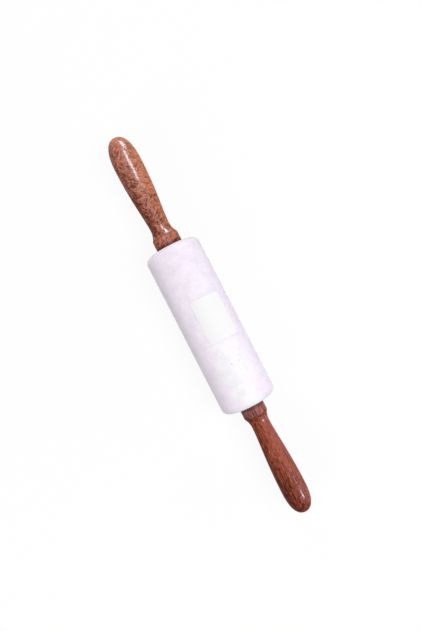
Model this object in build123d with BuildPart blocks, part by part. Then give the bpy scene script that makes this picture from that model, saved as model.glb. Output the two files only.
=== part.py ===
from build123d import *
import os
from math import cos, radians, sin, sqrt, tan

# Marble rolling pin. The marble barrel turns on a steel rod that joins two hardwood handles.
# Millimetres. The origin is the barrel's centre on the spin axis, +X runs along the rod towards
# the thinner handle and +Z is up. A side of 1 is the +X end, called right, and -1 is the left end.

# Marble barrel
barrel_diameter = 60.0
barrel_length = 181.5
barrel_edge_radius = 7.0
bore_diameter = 18.0
bore_mouth_chamfer = 0.8

# Flanged nylon bushes, pressed into the two ends of the bore
bush_length = 20.0
bush_lead_in = 0.8
bush_flange_diameter = 23.0
bush_flange_thickness = 1.0

# Steel thrust washers, between each bush and its handle
washer_diameter = 20.0
washer_thickness = 0.5

# Steel rod: a plain journal between two shoulders, and a thinner threaded end past each shoulder
journal_diameter = 10.0
rod_end_diameter = 8.0
rod_end_length = 24.0
rod_end_chamfer = 1.0
relief_width = 1.2
relief_depth = 0.6

# Brass inserts, which the rod's ends screw into
insert_diameter = 12.0
insert_length = 20.0
insert_groove_count = 3
insert_groove_width = 1.6
insert_groove_depth = 0.5
insert_slot_width = 1.6
insert_slot_depth = 2.0

# Turned handles. Each was turned by hand, so the left one is a little thicker than the right one.
collar_length = 11.4
collar_edge_radius = 0.8
shoulder_radius = 1.0
cove_radius = 20.0
left_handle_length = 127.0
left_collar_diameter = 28.4
left_neck_diameter = 21.3
left_bulb_diameter = 30.2
left_bulb_distance = 95.5
right_handle_length = 125.0
right_collar_diameter = 26.1
right_neck_diameter = 19.8
right_bulb_diameter = 27.0
right_bulb_distance = 98.5

# How far the tangents of the handle's curves reach, as shares of each curve's own span
neck_tangent_share = 0.22
swell_tangent_share = 0.53
dome_tangent_share = 0.62
tip_tangent_share = 0.69

# Drilled hole in each handle, past the insert
rod_hole_clearance = 0.3
rod_hole_spare_depth = 4.0
drill_point_angle = 118.0

# Plain paper label, stuck round the top of the barrel
label_length = 47.0
label_width = 33.0
label_thickness = 0.1
label_glue_thickness = 0.05
label_corner_radius = 2.5
label_offset = -5.75
label_turn = 15.3

# Fits
running_clearance = 0.08
seat_clearance = 0.03
washer_clearance = 0.2
end_float = 0.3

# Worked out from the sizes above
barrel_radius = barrel_diameter / 2
barrel_half = barrel_length / 2
bore_radius = bore_diameter / 2
journal_radius = journal_diameter / 2
rod_end_radius = rod_end_diameter / 2
insert_radius = insert_diameter / 2
washer_seat = barrel_half + bush_flange_thickness + end_float
handle_face = washer_seat + washer_thickness
rod_hole_radius = rod_end_radius + rod_hole_clearance
rod_hole_depth = rod_end_length + rod_hole_spare_depth
cut_overrun = insert_groove_depth

os.makedirs("parts", exist_ok=True)


def end_plane(side, distance):
    """A plane square to the spin axis, facing outwards at the given side."""
    return Plane(origin=(side * distance, 0, 0), x_dir=(0, 1, 0), z_dir=(side, 0, 0))


def profile_plane(side, distance):
    """A plane that holds the spin axis, with its own x running outwards from the given distance."""
    return Plane(origin=(side * distance, 0, 0), x_dir=(side, 0, 0), z_dir=(0, 0, 1))


def save(part, name):
    part.label = name
    export_step(part, "parts/" + name + ".step")


# Marble barrel: a plain cylinder with rounded rims, bored right through
with BuildPart() as marble_barrel:
    with BuildSketch(Plane.YZ.offset(-barrel_half)):
        Circle(barrel_radius)
    extrude(amount=barrel_length)
    fillet(marble_barrel.edges().filter_by(GeomType.CIRCLE), radius=barrel_edge_radius)
    with Locations(end_plane(1, barrel_half)):
        Hole(bore_radius)
    bore_wall = marble_barrel.faces().filter_by(GeomType.CYLINDER).sort_by(SortBy.AREA)[0]
    chamfer(bore_wall.edges().filter_by(GeomType.CIRCLE), length=bore_mouth_chamfer)
save(marble_barrel.part, "marble_barrel")

# Axle rod: half of it is turned outwards from the middle, and the other half is its mirror image
with BuildPart() as axle_rod:
    with BuildSketch(Plane.XY):
        with BuildLine():
            Polyline(
                (0, 0),
                (0, journal_radius),
                (handle_face, journal_radius),
                (handle_face, rod_end_radius - relief_depth),
                (handle_face + relief_width, rod_end_radius - relief_depth),
                (handle_face + relief_width + relief_depth, rod_end_radius),
                (handle_face + rod_end_length - rod_end_chamfer, rod_end_radius),
                (handle_face + rod_end_length, rod_end_radius - rod_end_chamfer),
                (handle_face + rod_end_length, 0),
                close=True,
            )
        make_face()
    revolve(axis=Axis.X)
    mirror(about=Plane.YZ)
save(axle_rod.part, "axle_rod")


def bearing_bush(side):
    """A nylon bush in the mouth of the bore, with its flange against the marble's end face."""
    body_radius = bore_radius - seat_clearance
    with BuildPart() as bush:
        with BuildSketch(end_plane(side, barrel_half)):
            Circle(body_radius)
        extrude(amount=-bush_length)
        chamfer(bush.edges().sort_by(Axis((0, 0, 0), (side, 0, 0)))[0], length=bush_lead_in)
        with BuildSketch(end_plane(side, barrel_half)):
            Circle(bush_flange_diameter / 2)
        extrude(amount=bush_flange_thickness)
        with Locations(end_plane(side, barrel_half + bush_flange_thickness)):
            Hole(journal_radius + running_clearance)
    return bush.part


def thrust_washer(side):
    """A flat steel washer round the journal, against the handle's collar."""
    with BuildPart() as washer:
        with BuildSketch(end_plane(side, washer_seat)):
            Circle(washer_diameter / 2)
            Circle(journal_radius + washer_clearance, mode=Mode.SUBTRACT)
        extrude(amount=washer_thickness)
    return washer.part


def threaded_insert(side):
    """A brass insert flush with the handle's face, grooved to hold in the wood, with a driver slot."""
    groove_pitch = insert_length / (insert_groove_count + 1)
    with BuildPart() as insert:
        with BuildSketch(end_plane(side, handle_face)):
            Circle(insert_radius)
        extrude(amount=insert_length)
        for groove in range(insert_groove_count):
            groove_start = (groove + 1) * groove_pitch - insert_groove_width / 2
            with BuildSketch(end_plane(side, handle_face + groove_start)):
                Circle(insert_radius + cut_overrun)
                Circle(insert_radius - insert_groove_depth, mode=Mode.SUBTRACT)
            extrude(amount=insert_groove_width, mode=Mode.SUBTRACT)
        with BuildSketch(end_plane(side, handle_face)):
            Rectangle(insert_diameter + cut_overrun, insert_slot_width)
        extrude(amount=insert_slot_depth, mode=Mode.SUBTRACT)
        with Locations(end_plane(side, handle_face + insert_length)):
            Hole(rod_end_radius + seat_clearance)
    return insert.part


def turned_handle(side, length, collar_diameter, neck_diameter, bulb_diameter, bulb_distance):
    """A hardwood handle: collar, cove, neck, swelling grip and domed tip, with a stepped blind hole."""
    collar_radius = collar_diameter / 2
    neck_radius = neck_diameter / 2
    bulb_radius = bulb_diameter / 2
    drop = collar_radius - neck_radius
    neck_distance = collar_length + sqrt(2 * cove_radius * drop - drop**2)
    swell = bulb_distance - neck_distance
    dome = length - bulb_distance
    plane = profile_plane(side, handle_face)
    axis = Axis(plane.origin, plane.x_dir)
    with BuildPart() as handle:
        with BuildSketch(plane):
            with BuildLine():
                Polyline((length, 0), (0, 0), (0, collar_radius), (collar_length, collar_radius))
                RadiusArc((collar_length, collar_radius), (neck_distance, neck_radius), -cove_radius)
                Bezier(
                    (neck_distance, neck_radius),
                    (neck_distance + neck_tangent_share * swell, neck_radius),
                    (bulb_distance - swell_tangent_share * swell, bulb_radius),
                    (bulb_distance, bulb_radius),
                )
                Bezier(
                    (bulb_distance, bulb_radius),
                    (bulb_distance + dome_tangent_share * dome, bulb_radius),
                    (length, tip_tangent_share * bulb_radius),
                    (length, 0),
                )
            make_face()
        revolve(axis=axis)
        shoulder = handle.edges().filter_by(lambda edge: edge.is_closed).sort_by(axis)[1]
        fillet(shoulder, radius=shoulder_radius)
        collar_edge = handle.edges().filter_by(lambda edge: edge.is_closed).sort_by(axis)[0]
        fillet(collar_edge, radius=collar_edge_radius)
        with BuildSketch(plane):
            with BuildLine():
                Polyline(
                    (0, 0),
                    (0, insert_radius + seat_clearance),
                    (insert_length, insert_radius + seat_clearance),
                    (insert_length, rod_hole_radius),
                    (rod_hole_depth, rod_hole_radius),
                    (rod_hole_depth + rod_hole_radius / tan(radians(drill_point_angle / 2)), 0),
                    close=True,
                )
            make_face()
        revolve(axis=axis, mode=Mode.SUBTRACT)
    return handle.part


for side, end_name in ((-1, "left"), (1, "right")):
    save(bearing_bush(side), "bearing_bush_" + end_name)
    save(thrust_washer(side), "thrust_washer_" + end_name)
    save(threaded_insert(side), "threaded_insert_" + end_name)

handle_left = turned_handle(
    side=-1,
    length=left_handle_length,
    collar_diameter=left_collar_diameter,
    neck_diameter=left_neck_diameter,
    bulb_diameter=left_bulb_diameter,
    bulb_distance=left_bulb_distance,
)
save(handle_left, "handle_left")

handle_right = turned_handle(
    side=1,
    length=right_handle_length,
    collar_diameter=right_collar_diameter,
    neck_diameter=right_neck_diameter,
    bulb_diameter=right_bulb_diameter,
    bulb_distance=right_bulb_distance,
)
save(handle_right, "handle_right")

# Label: a thin shell on the marble, cut to a rounded rectangle seen square on
label_angle = radians(label_turn)
label_chord = barrel_diameter * sin(label_width / barrel_diameter)
label_plane = Plane(
    origin=(label_offset, 0, 0), x_dir=(1, 0, 0), z_dir=(0, sin(label_angle), cos(label_angle))
)
label_inner_radius = barrel_radius + label_glue_thickness
with BuildPart() as label:
    with BuildSketch(Plane.YZ.offset(label_offset - label_length / 2)):
        Circle(label_inner_radius + label_thickness)
        Circle(label_inner_radius, mode=Mode.SUBTRACT)
    extrude(amount=label_length)
    with BuildSketch(label_plane):
        RectangleRounded(label_length, label_chord, label_corner_radius)
    extrude(amount=barrel_diameter, mode=Mode.INTERSECT)
save(label.part, "label")
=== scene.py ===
"""Marble rolling pin: the finishes, floor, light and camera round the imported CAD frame."""

from math import radians

import bpy
from mathutils import Matrix, Vector

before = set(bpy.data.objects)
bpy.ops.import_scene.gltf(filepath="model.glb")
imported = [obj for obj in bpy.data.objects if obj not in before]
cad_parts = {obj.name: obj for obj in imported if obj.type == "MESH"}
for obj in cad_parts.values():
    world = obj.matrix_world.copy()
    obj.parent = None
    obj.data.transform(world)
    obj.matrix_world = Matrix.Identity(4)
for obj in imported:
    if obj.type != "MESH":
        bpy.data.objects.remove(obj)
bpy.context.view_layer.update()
scene = bpy.context.scene

# Sizes of the CAD model that the finishes follow, in metres. The label is turned from +Z towards +Y.
BARREL_RADIUS = 0.030
HANDLE_FACE = 0.09255
COLLAR_LENGTH = 0.0114
LABEL_OFFSET = -0.00575
LABEL_HALF_LENGTH = 0.0235
LABEL_HALF_WIDTH = 0.0165
LABEL_TURN = radians(15.3)
MM_PER_METRE = 1000

# Where the wood changes along a handle, in metres out from its collar's face. Lean, which paints light and
# shade by side, and dip each go from the neck's value to the bulb's over a span of their own, and the tip's
# dip, painted shade, and a painted sheen where below 0, comes in over the dome.
# The painted shade along the collar's end edge fades out over this span
COLLAR_END_EDGE = (0.0022, 0.0040)
COLLAR_STAIN_END = (COLLAR_LENGTH - 0.0008, COLLAR_LENGTH + 0.0006)
COVE = (COLLAR_LENGTH, 0.020)
LEAN_SPAN = (0.035, 0.075)
DIP_SPAN = (0.042, 0.084)
DOME = (0.106, 0.122)

# Most of a noise lies in this span, about this middle
NOISE_SPAN = (0.3, 0.7)
NOISE_MIDDLE = 0.5

# The Mix node has sockets for each kind of data: these are the places of the ones for colour
MIX_FACTOR = 0
MIX_FIRST = 6
MIX_SECOND = 7
MIX_RESULT = 2

# The strength of the light from all round, where 1 is white, and the tints of the world and the gloss
WORLD_LIGHT = 0.13
WORLD_TINT = (0.98, 0.97, 1.0, 1)
GLOSS_TINT = (0.86, 0.92, 1)

# The camera looks straight down, turned so that the pin lies across the frame as in the photo
CAMERA_PLACE = (-0.00927, 0.00486, 0.5539)
CAMERA_TURN = radians(62.86)
FOCAL_LENGTH = 30.24

# The floor is a square, and this is half its side in metres
FLOOR_HALF_WIDTH = 3


class Nodes:
    """The nodes of one material or world. Values and sockets go in, and sockets come out."""

    def __init__(self, owner):
        self.owner = owner
        owner.use_nodes = True
        self.tree = owner.node_tree
        self.tree.nodes.clear()

    def add(self, kind, inputs, **settings):
        """A node of that kind, with a value or a link on each of the inputs."""
        node = self.tree.nodes.new("ShaderNode" + kind)
        for key, value in settings.items():
            setattr(node, key, value)
        for key, value in inputs.items():
            if isinstance(value, bpy.types.NodeSocket):
                self.tree.links.new(value, node.inputs[key])
            else:
                node.inputs[key].default_value = value
        return node

    def point(self):
        """The shaded point in the frame of the CAD at rest, so a pattern turns with its body."""
        return self.add("TexCoord", {}).outputs["Object"]

    def axes(self, point):
        split = self.add("SeparateXYZ", {"Vector": point}).outputs
        return split["X"], split["Y"], split["Z"]

    def flat(self, x, y):
        """The point x, y at height 0."""
        return self.add("CombineXYZ", {"X": x, "Y": y}).outputs["Vector"]

    def distance(self, point, place):
        return self.add("VectorMath", {0: point, 1: place}, operation="DISTANCE").outputs["Value"]

    def math(self, operation, first, second=0.0, third=0.0, clamp=False):
        inputs = {0: first, 1: second, 2: third}
        return self.add("Math", inputs, operation=operation, use_clamp=clamp).outputs["Value"]

    def ramp(self, value, span=NOISE_SPAN, to=(0.0, 1.0)):
        """The value's span mapped smoothly onto the second pair, and held at its ends past them."""
        inputs = {"Value": value, "From Min": span[0], "From Max": span[1], "To Min": to[0], "To Max": to[1]}
        return self.add("MapRange", inputs, interpolation_type="SMOOTHSTEP", clamp=True).outputs["Result"]

    def noise(
        self, point, scale, detail=2.0, stretch=(1, 1, 1), turn=(0, 0, 0), shift=(0, 0, 0), distortion=0.0
    ):
        """Noise that is longer along each axis by its stretch, with those axes turned."""
        place = {"Vector": point, "Scale": stretch, "Rotation": turn, "Location": shift}
        placed = self.add("Mapping", place, vector_type="TEXTURE").outputs["Vector"]
        inputs = {"Vector": placed, "Scale": scale, "Detail": detail, "Distortion": distortion}
        return self.add("TexNoise", inputs).outputs["Fac"]

    def vary(self, base, noise, share):
        """base, plus a share of how far the noise is from its middle."""
        return self.math("MULTIPLY_ADD", self.math("SUBTRACT", noise, NOISE_MIDDLE), share, base)

    def blend(self, factor, first, second, kind="MIX"):
        inputs = {MIX_FACTOR: factor, MIX_FIRST: first, MIX_SECOND: second}
        return self.add("Mix", inputs, data_type="RGBA", blend_type=kind).outputs[MIX_RESULT]

    def shade(self, colour, amount):
        """colour times a grey of that amount."""
        grey = self.add("CombineColor", {"Red": amount, "Green": amount, "Blue": amount})
        return self.blend(1.0, colour, grey.outputs["Color"], "MULTIPLY")

    def bump(self, height, distance):
        return self.add("Bump", {"Height": height, "Distance": distance}).outputs["Normal"]

    def seen(self):
        """1 for what the camera sees, in reflections too, and 0 for light on the object."""
        rays = self.add("LightPath", {}).outputs
        seen = self.math("MAXIMUM", rays["Is Camera Ray"], rays["Is Glossy Ray"])
        return self.math("MAXIMUM", seen, rays["Is Transmission Ray"])

    def surface(self, **inputs):
        """Ends the material in a Principled surface with these sockets, and returns it."""
        named = {key.replace("_", " "): value for key, value in inputs.items()}
        surface = self.add("BsdfPrincipled", named)
        self.add("OutputMaterial", {"Surface": surface.outputs["BSDF"]})
        return self.owner


def marble_ground(nodes, point, mottle, crystals):
    """Lavender with soft clouds at four scales, and painted light along the top, strongest at its right."""
    lavender = (0.900, 0.822, 0.945, 1)
    white = (0.920, 0.895, 0.940, 1)
    painted_light_y = 0.002
    x, y, z = nodes.axes(point)
    clouds = nodes.noise(point, scale=38, detail=3, shift=(0.31, 0.12, 0.27))
    fine = nodes.noise(point, scale=300, detail=3, shift=(0.4, 0.1, 0.8))
    # Painted light: the top is blended towards white, more so towards the right, and the clouds add white
    # patches of the stone's own
    angle = nodes.math("ARCTAN2", nodes.math("SUBTRACT", y, painted_light_y), z)
    painted_top_light = nodes.ramp(nodes.math("ABSOLUTE", angle), span=(0.15, 0.85), to=(1.0, 0.0))
    painted_light_and_clouds = nodes.math("MULTIPLY", painted_top_light, nodes.ramp(x, span=(-0.02, 0.04), to=(0.25, 1.0)))
    painted_light_and_clouds = nodes.math("ADD", painted_light_and_clouds, nodes.ramp(clouds, to=(-0.2, 0.3)), clamp=True)
    colour = nodes.blend(painted_light_and_clouds, lavender, white)
    colour = nodes.shade(colour, nodes.ramp(mottle, to=(0.965, 1.03)))
    colour = nodes.shade(colour, nodes.ramp(fine, to=(0.98, 1.02)))
    return nodes.shade(colour, nodes.ramp(crystals, to=(0.99, 1.01)))


def marble_veins(nodes, point):
    """1 on a vein and 0 off it: a thin line where a warped noise crosses its middle, in a few regions."""
    warped = nodes.noise(point, scale=17, detail=5, shift=(0.05, 0.4, 0.9), distortion=0.9)
    off_line = nodes.math("ABSOLUTE", nodes.math("SUBTRACT", warped, NOISE_MIDDLE))
    line = nodes.ramp(off_line, span=(0.0, 0.010), to=(1.0, 0.0))
    region = nodes.ramp(nodes.noise(point, scale=14, detail=1, shift=(0.2, 0.6, 0.1)), span=(0.5, 0.62))
    return nodes.math("MULTIPLY", line, region)


def marble_specks(nodes, point):
    """1 on the darkest speck and 0 off them: chance ones all round, and the few that the top shows."""
    # Each of those few has its x, y and radius in millimetres, and its depth
    marks = (
        (42.9, 1.7, 1.5, 1.0),
        (42.9, 9.7, 1.1, 1.0),
        (33.2, 15.7, 1.3, 0.8),
        (53.4, 13.8, 1.1, 0.6),
        (71.2, 0.2, 1.6, 0.4),
        (-13.1, 23.5, 1.4, 0.8),
        (-7.7, 25.9, 1.2, 0.9),
    )
    mark_core = 0.0003
    x, y, z = nodes.axes(point)
    flat = nodes.flat(x, y)
    on_top = nodes.math("GREATER_THAN", z, 0.0)
    cells = nodes.add("TexVoronoi", {"Vector": point, "Scale": 42.0})
    speck = nodes.ramp(cells.outputs["Distance"], span=(0.02, 0.055), to=(0.5, 0.0))
    for mark_x, mark_y, radius, depth in marks:
        away = nodes.distance(flat, (mark_x / MM_PER_METRE, mark_y / MM_PER_METRE, 0))
        mark = nodes.ramp(away, span=(mark_core, radius / MM_PER_METRE), to=(depth, 0.0))
        speck = nodes.math("MAXIMUM", speck, nodes.math("MULTIPLY", mark, on_top))
    return speck


def label_edge_line(nodes, point):
    """The share of a faint dark line along the label's edge, at each point."""
    x, y, z = nodes.axes(point)
    along = nodes.math("SUBTRACT", x, LABEL_OFFSET)
    around = nodes.math("SUBTRACT", nodes.math("ARCTAN2", y, z), LABEL_TURN)
    past_end = nodes.math("SUBTRACT", nodes.math("ABSOLUTE", along), LABEL_HALF_LENGTH)
    past_side = nodes.math("MULTIPLY_ADD", nodes.math("ABSOLUTE", around), BARREL_RADIUS, -LABEL_HALF_WIDTH)
    past_edge = nodes.math("MAXIMUM", past_end, past_side)
    return nodes.ramp(past_edge, span=(0.0001, 0.0011), to=(0.13, 0.0))


def polished_marble():
    """Lavender white stone with soft clouds, painted light along the top, faint veins, small grey specks and
    a faint dark line round the label.
    """
    vein_colour = (0.60, 0.52, 0.66, 1)
    vein_share = 0.16
    speck_colour = (0.40, 0.36, 0.44, 1)
    speck_share = 0.34
    edge_line_colour = (0.44, 0.38, 0.50, 1)
    nodes = Nodes(bpy.data.materials.new("polished_marble"))
    point = nodes.point()
    mottle = nodes.noise(point, scale=85, shift=(0.7, 0.2, 0.5))
    crystals = nodes.noise(point, scale=900)
    vein = nodes.math("MULTIPLY", marble_veins(nodes, point), vein_share)
    speck = nodes.math("MULTIPLY", marble_specks(nodes, point), speck_share)
    colour = nodes.blend(vein, marble_ground(nodes, point, mottle, crystals), vein_colour)
    colour = nodes.blend(speck, colour, speck_colour)
    # A faint dark line round the label's edge
    colour = nodes.blend(label_edge_line(nodes, point), colour, edge_line_colour)
    return nodes.surface(
        Base_Color=colour,
        Roughness=nodes.ramp(mottle, to=(0.26, 0.34)),
        IOR=1.5,
        Specular_IOR_Level=0.10,
        Subsurface_Weight=0.12,
        Subsurface_Radius=(0.9, 0.8, 1.0),
        Subsurface_Scale=0.0012,
        Normal=nodes.bump(crystals, distance=0.00002),
    )


def wood_facing(nodes, y, z):
    """0 along the top and the underside, 0.75 facing +Y and -0.75 facing -Y, and level near both."""
    top_slope = 1.25
    slope_change = -0.5
    sine = nodes.math("SINE", nodes.math("ARCTAN2", y, z))
    slope = nodes.math("MULTIPLY_ADD", nodes.math("MULTIPLY", sine, sine), slope_change, top_slope)
    return nodes.math("MULTIPLY", sine, slope)


def wood_curls(nodes, point, side):
    """Short strokes across the grain, which slant one way in some places and back in the others."""
    strokes = {"scale": 720, "stretch": (1, 4, 4), "distortion": 0.5}
    forth = nodes.noise(point, turn=(0, 0.25, -0.6), shift=(0.1, 0.5, 0.2), **strokes)
    back = nodes.noise(point, turn=(0, -0.3, 0.7), shift=(0.3, 0.2, 0.5), **strokes)
    swirl = nodes.noise(point, scale=45, detail=1, shift=(0.4, 0.3, 0.6 * side))
    swirl = nodes.ramp(swirl, span=(0.42, 0.58))
    return nodes.math("MULTIPLY_ADD", nodes.math("SUBTRACT", back, forth), swirl, forth)


def wood_figure(nodes, point, side, mottle, curl, streak):
    """The figure's own tone, from 0 for deep to 1 for pale: mottle, curls and the streaks of the grain."""
    middle = 0.46
    grain = nodes.noise(
        point, scale=900, detail=3, stretch=(9, 1, 1), shift=(0.2, 0.3 * side, 0.1), distortion=0.3
    )
    tone = nodes.vary(middle, mottle, share=1.3 * curl)
    tone = nodes.vary(tone, wood_curls(nodes, point, side), share=2.7 * curl)
    return nodes.vary(tone, grain, share=2.4 * streak)


def wood_tone(nodes, tone, outward, facing, painted_side_light, dip):
    """The tone changed by place: lean paints light towards +Y and shade towards -Y, dip deepens it all
    round, and the tip's dip is painted shade, a painted sheen where below 0.
    """
    lean_collar, lean_neck, lean_bulb = painted_side_light
    dip_neck, dip_bulb, painted_tip_shade = dip
    past_collar = nodes.ramp(outward, span=COVE)
    added_lean = nodes.ramp(outward, LEAN_SPAN, to=(lean_neck - lean_collar, lean_bulb - lean_collar))
    painted_side_light_amount = nodes.math("ADD", nodes.math("MULTIPLY", past_collar, added_lean), lean_collar)
    dipping = nodes.math("MULTIPLY", past_collar, nodes.ramp(outward, DIP_SPAN, to=(-dip_neck, -dip_bulb)))
    # Painted light towards +Y and painted shade towards -Y
    tone = nodes.math("MULTIPLY_ADD", facing, painted_side_light_amount, tone)
    tone = nodes.math("ADD", tone, dipping)
    # Painted shade over the tip's dome, turning to a painted sheen where the tip's value is below 0
    return nodes.math("ADD", tone, nodes.ramp(outward, DOME, to=(0.0, -painted_tip_shade)), clamp=True)


def knotted(nodes, colour, point, mottle, knots):
    """The colour with dark knots on top of the handle, ragged and longer than wide."""
    knot_colour = (0.075, 0.022, 0.026, 1)
    length_to_width = 3.0
    core = 0.0002
    raggedness = 0.004
    x, y, z = nodes.axes(point)
    on_top = nodes.math("GREATER_THAN", z, 0.0)
    squeezed = nodes.flat(nodes.math("DIVIDE", x, length_to_width), y)
    for knot_x, knot_y, half_length, depth in knots:
        centre = (knot_x / length_to_width / MM_PER_METRE, knot_y / MM_PER_METRE, 0)
        half_width = half_length / length_to_width / MM_PER_METRE
        away = nodes.vary(nodes.distance(squeezed, centre), mottle, share=raggedness)
        patch = nodes.ramp(away, span=(core, half_width), to=(depth, 0.0))
        colour = nodes.blend(nodes.math("MULTIPLY", patch, on_top), colour, knot_colour)
    return colour


def collared(nodes, colour, outward, tone, drift, stain, share):
    """The colour with the collar's own stain, which follows the tone, with painted shade along its end edge
    and a dark line round its shoulder.
    """
    dark = (0.055, 0.018, 0.016, 1)
    on_collar = nodes.ramp(outward, COLLAR_STAIN_END, to=(1.0, 0.0))
    stained = nodes.shade(stain, nodes.ramp(tone, span=(0, 1), to=(0.55, 1.45)))
    colour = nodes.blend(nodes.math("MULTIPLY", on_collar, share), colour, stained)
    # Painted shade along the collar's end edge, beside the barrel, with a wavering border
    wavering = nodes.math("ADD", outward, nodes.ramp(drift, to=(-0.0007, 0.0007)))
    painted_edge_shade = nodes.ramp(wavering, COLLAR_END_EDGE, to=(0.62, 0.0))
    off_shoulder = nodes.math("ABSOLUTE", nodes.math("SUBTRACT", outward, COLLAR_LENGTH))
    shoulder = nodes.ramp(off_shoulder, span=(0.0002, 0.0010), to=(0.45, 0.0))
    return nodes.blend(nodes.math("MAXIMUM", painted_edge_shade, shoulder), colour, dark)


def lacquered_wood(
    name, side, rosy, orange, deep, stain, stain_share, curl, streak, painted_side_light, painted_side_tint, dip, knots
):
    """Red-brown hardwood under a clear lacquer.

    side is 1 for the handle at +X and -1 for the one at -X. The wood's tone goes from deep to a pale
    colour between rosy and orange, and stain is the collar's own colour, laid over it by stain_share. curl
    is the strength of the mottled figure and streak that of the grain. The three values of lean, at the
    collar, the neck and the bulb, paint light towards +Y and shade towards -Y, and blush paints a rosier
    tint towards +Y. It is deeper at the neck, the bulb and the tip by the three values of dip, and at the
    tip this is painted shade, a painted sheen where the value is below 0. Each knot has its x, y and
    half length in millimetres, and its depth.
    """
    cooler = (0.94, 1.03, 1.0, 1)
    warmer = (1.06, 0.97, 1.0, 1)
    pore_colour = (0.050, 0.010, 0.006, 1)
    pore_share = 0.35
    pore_height = -1.0
    mottle_height = 0.4
    fleck_and_glint_brightness = 1.45 + 0.4 * streak
    nodes = Nodes(bpy.data.materials.new(name))
    point = nodes.point()
    x, y, z = nodes.axes(point)
    outward = nodes.math("MULTIPLY_ADD", x, side, -HANDLE_FACE)
    # How far each point faces +Y or -Y: the mask of the painted side light, shade and tint
    facing = wood_facing(nodes, y, z)
    mottle = nodes.noise(
        point, scale=430, detail=3, stretch=(1.3, 1, 1), shift=(0.3 * side, 0.1, 0.4), distortion=0.4
    )
    drift = nodes.noise(point, scale=60, stretch=(2, 1, 1), shift=(0.6, 0.2, 0.3 * side))
    hue = nodes.noise(point, scale=300, detail=3, stretch=(1.6, 1, 1), shift=(0.8, 0.4, 0.2 * side))
    warmth = nodes.noise(point, scale=520, stretch=(2, 1, 1), shift=(0.3, 0.9, 0.5))
    pores = nodes.noise(point, scale=1700, stretch=(7, 1, 1), shift=(0.4, 0.7, 0.2))

    # The wood's colour, from its figure and the place on the handle, with painted light, shade and tint by
    # the side each point faces
    figure = wood_figure(nodes, point, side, mottle, curl, streak)
    tone = wood_tone(nodes, nodes.vary(figure, drift, share=0.9), outward, facing, painted_side_light, dip)
    # A painted tint: the pale colour shifts between rosy and orange by the side each point faces
    pale = nodes.blend(nodes.ramp(nodes.math("MULTIPLY_ADD", facing, -painted_side_tint, hue)), rosy, orange)
    figured_deep = nodes.shade(deep, nodes.ramp(figure, span=(0.0, 0.9), to=(0.65, 1.35)))
    colour = nodes.blend(tone, figured_deep, pale)
    colour = nodes.blend(1.0, colour, nodes.blend(nodes.ramp(warmth), cooler, warmer), "MULTIPLY")
    colour = knotted(nodes, colour, point, mottle, knots)

    # Short dashes along the grain: dark pores, and pale rays, brightened further as painted glints
    dash = nodes.ramp(pores, span=(0.60, 0.70))
    colour = nodes.blend(nodes.math("MULTIPLY", dash, pore_share), colour, pore_colour)
    colour = nodes.shade(colour, nodes.ramp(pores, span=(0.28, 0.42), to=(fleck_and_glint_brightness, 1.0)))
    colour = collared(nodes, colour, outward, tone, drift, stain, stain_share)
    relief = nodes.math("MULTIPLY_ADD", dash, pore_height, nodes.math("MULTIPLY", mottle, mottle_height))
    return nodes.surface(
        Base_Color=colour,
        Roughness=nodes.ramp(mottle, to=(0.38, 0.50)),
        IOR=1.5,
        Specular_IOR_Level=0.03,
        Normal=nodes.bump(relief, distance=0.00006),
        Coat_Weight=0.045,
        Coat_Roughness=0.19,
        Coat_IOR=2.0,
        Coat_Normal=nodes.bump(hue, distance=0.000002),
    )


def coated_paper():
    """Blank white label paper, with a faint fibre, slight waves and a slight sheen."""
    darker_tone = (0.885, 0.885, 0.895, 1)
    white = (0.925, 0.925, 0.93, 1)
    wave_height = 8.0
    nodes = Nodes(bpy.data.materials.new("label_paper"))
    point = nodes.point()
    fibre = nodes.noise(point, scale=2600, detail=3, stretch=(2.5, 1, 1))
    waves = nodes.noise(point, scale=90, detail=1, shift=(0.2, 0.1, 0.6))
    relief = nodes.math("MULTIPLY_ADD", waves, wave_height, fibre)
    return nodes.surface(
        Base_Color=nodes.blend(nodes.ramp(fibre), darker_tone, white),
        Roughness=nodes.ramp(fibre, to=(0.42, 0.52)),
        Specular_IOR_Level=0.20,
        Normal=nodes.bump(relief, distance=0.00001),
    )


def turned_metal(name, colour, dull):
    """Metal with fine lathe lines round the spin axis, faintly darker in places."""
    darker = 0.82
    rougher = 0.14
    nodes = Nodes(bpy.data.materials.new(name))
    point = nodes.point()
    lines = nodes.noise(point, scale=4200, stretch=(1, 50, 50))
    tint = nodes.noise(point, scale=160, detail=3)
    darker_tone = [darker * channel for channel in colour[:3]] + [1]
    return nodes.surface(
        Base_Color=nodes.blend(nodes.ramp(tint), darker_tone, colour),
        Metallic=1.0,
        Roughness=nodes.ramp(lines, to=(dull, dull + rougher)),
        Normal=nodes.bump(lines, distance=0.00001),
    )


def moulded_nylon():
    """Off-white nylon, faintly cloudy and a little translucent."""
    darker_tone = (0.74, 0.70, 0.61, 1)
    pale = (0.80, 0.77, 0.69, 1)
    nodes = Nodes(bpy.data.materials.new("moulded_nylon"))
    point = nodes.point()
    clouds = nodes.noise(point, scale=220)
    grain = nodes.noise(point, scale=3000)
    return nodes.surface(
        Base_Color=nodes.blend(nodes.ramp(clouds), darker_tone, pale),
        Roughness=nodes.ramp(grain, to=(0.40, 0.55)),
        Subsurface_Weight=0.2,
        Subsurface_Radius=(1.0, 0.9, 0.8),
        Subsurface_Scale=0.001,
        Normal=nodes.bump(grain, distance=0.00001),
    )


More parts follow.
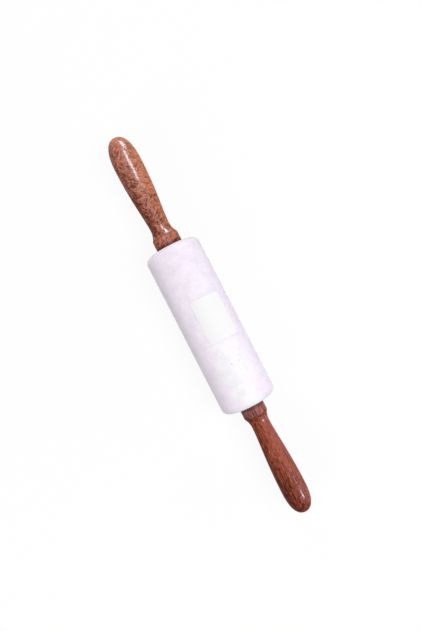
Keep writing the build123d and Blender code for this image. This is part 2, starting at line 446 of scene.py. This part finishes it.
def white_floor():
    """The floor that the pin lies on: grey to the light, and white to the camera and in reflections.

    The camera sees mostly the floor's own glow, and the rest of what it sees keeps the pin's shadow.
    """
    to_light = (0.20, 0.20, 0.205, 1)
    to_camera = (0.95, 0.95, 0.95, 1)
    glow_share = 0.90
    half = FLOOR_HALF_WIDTH
    outline = ((-half, -half), (half, -half), (half, half), (-half, half))
    mesh = bpy.data.meshes.new("floor")
    mesh.from_pydata([(x, y, -BARREL_RADIUS) for x, y in outline], [], [(0, 1, 2, 3)])
    nodes = Nodes(bpy.data.materials.new("floor_white"))
    seen = nodes.seen()
    share = nodes.math("MULTIPLY", seen, glow_share)
    plain = nodes.add("BsdfDiffuse", {"Color": nodes.blend(seen, to_light, to_camera)}).outputs["BSDF"]
    glow = nodes.add("Emission", {"Color": (1, 1, 1, 1), "Strength": 1.0}).outputs["Emission"]
    mixed = nodes.add("MixShader", {0: share, 1: plain, 2: glow}).outputs["Shader"]
    nodes.add("OutputMaterial", {"Surface": mixed})
    mesh.materials.append(nodes.owner)
    floor = bpy.data.objects.new("floor", mesh)
    scene.collection.objects.link(floor)


def softbox(name, direction, distance, size, power, along=(1, 0, 0), colour=(1, 1, 1), node=None):
    """A rectangular lamp that faces the origin from that direction, its first side turned towards along.

    It lights everything and no gloss shows it. With a node named, it lights nothing, and only that node's
    gloss shows it.
    """
    lamp = bpy.data.lights.new(name, "AREA")
    lamp.shape = "RECTANGLE"
    lamp.size, lamp.size_y = size
    lamp.energy = power
    lamp.color = colour
    holder = bpy.data.objects.new(name, lamp)
    back = Vector(direction).normalized()
    up = back.cross(Vector(along)).normalized()
    holder.matrix_world = Matrix((up.cross(back), up, back)).transposed().to_4x4()
    holder.location = back * distance
    holder.visible_diffuse = node is None
    holder.visible_glossy = node is not None
    if node:
        receiver = bpy.data.collections.new(name + "_receiver")
        receiver.objects.link(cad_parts[node])
        holder.light_linking.receiver_collection = receiver
    scene.collection.objects.link(holder)


def gloss_lamp(name, node, direction, distance, size, power, along=(1, 0, 0)):
    """A softbox that only this node's gloss shows."""
    softbox(name, direction, distance, size, power, along, GLOSS_TINT, node)


def studio_world():
    """A little light all round, and white to the camera and in reflections."""
    world = bpy.data.worlds.new("studio")
    nodes = Nodes(world)
    strength = nodes.ramp(nodes.seen(), span=(0.0, 1.0), to=(WORLD_LIGHT, 1.0))
    background = nodes.add("Background", {"Color": WORLD_TINT, "Strength": strength})
    nodes.add("OutputWorld", {"Surface": background.outputs["Background"]})
    scene.world = world


def photo_camera():
    """Looks straight down on the pin, from as far as the photo's camera was."""
    lens = bpy.data.cameras.new("camera")
    lens.lens = FOCAL_LENGTH
    camera = bpy.data.objects.new("camera", lens)
    camera.location = CAMERA_PLACE
    camera.rotation_euler = (0, 0, CAMERA_TURN)
    scene.collection.objects.link(camera)
    scene.camera = camera


# Finishes: every CAD node keeps its shape and takes one of these
steel = turned_metal("turned_steel", colour=(0.60, 0.60, 0.61, 1), dull=0.24)
brass = turned_metal("turned_brass", colour=(0.78, 0.58, 0.28, 1), dull=0.26)
nylon = moulded_nylon()
left_wood = lacquered_wood(
    "left_wood",
    side=-1,
    rosy=(0.59, 0.235, 0.188, 1),
    orange=(0.64, 0.223, 0.099, 1),
    deep=(0.160, 0.041, 0.0205, 1),
    stain=(0.36, 0.112, 0.074, 1),
    stain_share=0.45,
    curl=0.92,
    streak=0.35,
    # lean and blush paint light, shade and a tint by side, and dip's last value paints a sheen on the tip
    painted_side_light=(0.28, 0.56, 0.22),
    painted_side_tint=-0.10,
    dip=(0.18, -0.06, -0.12),
    knots=((-173.5, -9.5, 8.0, 0.55), (-166.4, -1.4, 6.5, 0.55)),
)
right_wood = lacquered_wood(
    "right_wood",
    side=1,
    rosy=(0.349, 0.095, 0.066, 1),
    orange=(0.321, 0.071, 0.026, 1),
    deep=(0.070, 0.0105, 0.0045, 1),
    stain=(0.33, 0.116, 0.105, 1),
    stain_share=0.70,
    curl=0.45,
    streak=1.25,
    # lean and blush paint light, shade and a tint by side, and dip's last value paints shade on the tip
    painted_side_light=(0.45, 0.58, 0.46),
    painted_side_tint=0.25,
    dip=(-0.45, 0.0, 0.15),
    knots=((146.5, -1.5, 3.0, 0.6), (139.0, 3.0, 5.0, 0.25)),
)
finishes = {
    "marble_barrel": polished_marble(),
    "label": coated_paper(),
    "handle_left": left_wood,
    "handle_right": right_wood,
    "axle_rod": steel,
    "thrust_washer_left": steel,
    "thrust_washer_right": steel,
    "bearing_bush_left": nylon,
    "bearing_bush_right": nylon,
    "threaded_insert_left": brass,
    "threaded_insert_right": brass,
}
for node, finish in finishes.items():
    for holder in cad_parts[node].material_slots:
        holder.material = finish

white_floor()

# Broad lamps light the pin
softbox("key_softbox", direction=(0.28, 0.32, 0.94), distance=1.2, size=(0.9, 0.9), power=10.2)
softbox(
    "fill_softbox",
    direction=(0.28, -0.86, 0.50),
    distance=1.2,
    size=(0.9, 0.9),
    power=5.7,
    colour=(1, 0.98, 0.94),
)
softbox("side_softbox", direction=(0.28, 0.97, 0.20), distance=1.2, size=(0.8, 0.5), power=5.0)
softbox("left_softbox", direction=(-0.97, 0, 0.26), distance=1.4, size=(0.8, 0.8), power=11.0)

# Lamps that only one handle's lacquer reflects give it its sheen and highlights
gloss_lamp(
    "left_panel",
    node="handle_left",
    direction=(-0.36, -0.26, 0.90),
    distance=1.2,
    size=(0.75, 0.70),
    power=8,
)
gloss_lamp(
    "left_strip",
    node="handle_left",
    direction=(-0.506, 0.316, 0.802),
    distance=1.09,
    size=(0.43, 0.28),
    power=44,
    along=(0.41, 0.05, 0.16),
)
gloss_lamp(
    "left_lamp",
    node="handle_left",
    direction=(-0.815, 0.450, 0.365),
    distance=1.14,
    size=(0.44, 0.32),
    power=66,
    along=(0.23, 0.05, 0.38),
)
gloss_lamp(
    "right_strip",
    node="handle_right",
    direction=(0.50, 0.64, 0.58),
    distance=1.10,
    size=(0.24, 0.16),
    power=1.5,
    along=(0.22, -0.14, 0),
)
gloss_lamp(
    "right_lamp",
    node="handle_right",
    direction=(0.60, 0.585, 0.545),
    distance=1.10,
    size=(0.15, 0.15),
    power=16,
    along=(0.22, -0.14, 0),
)

studio_world()
photo_camera()
scene.view_settings.view_transform = "Standard"
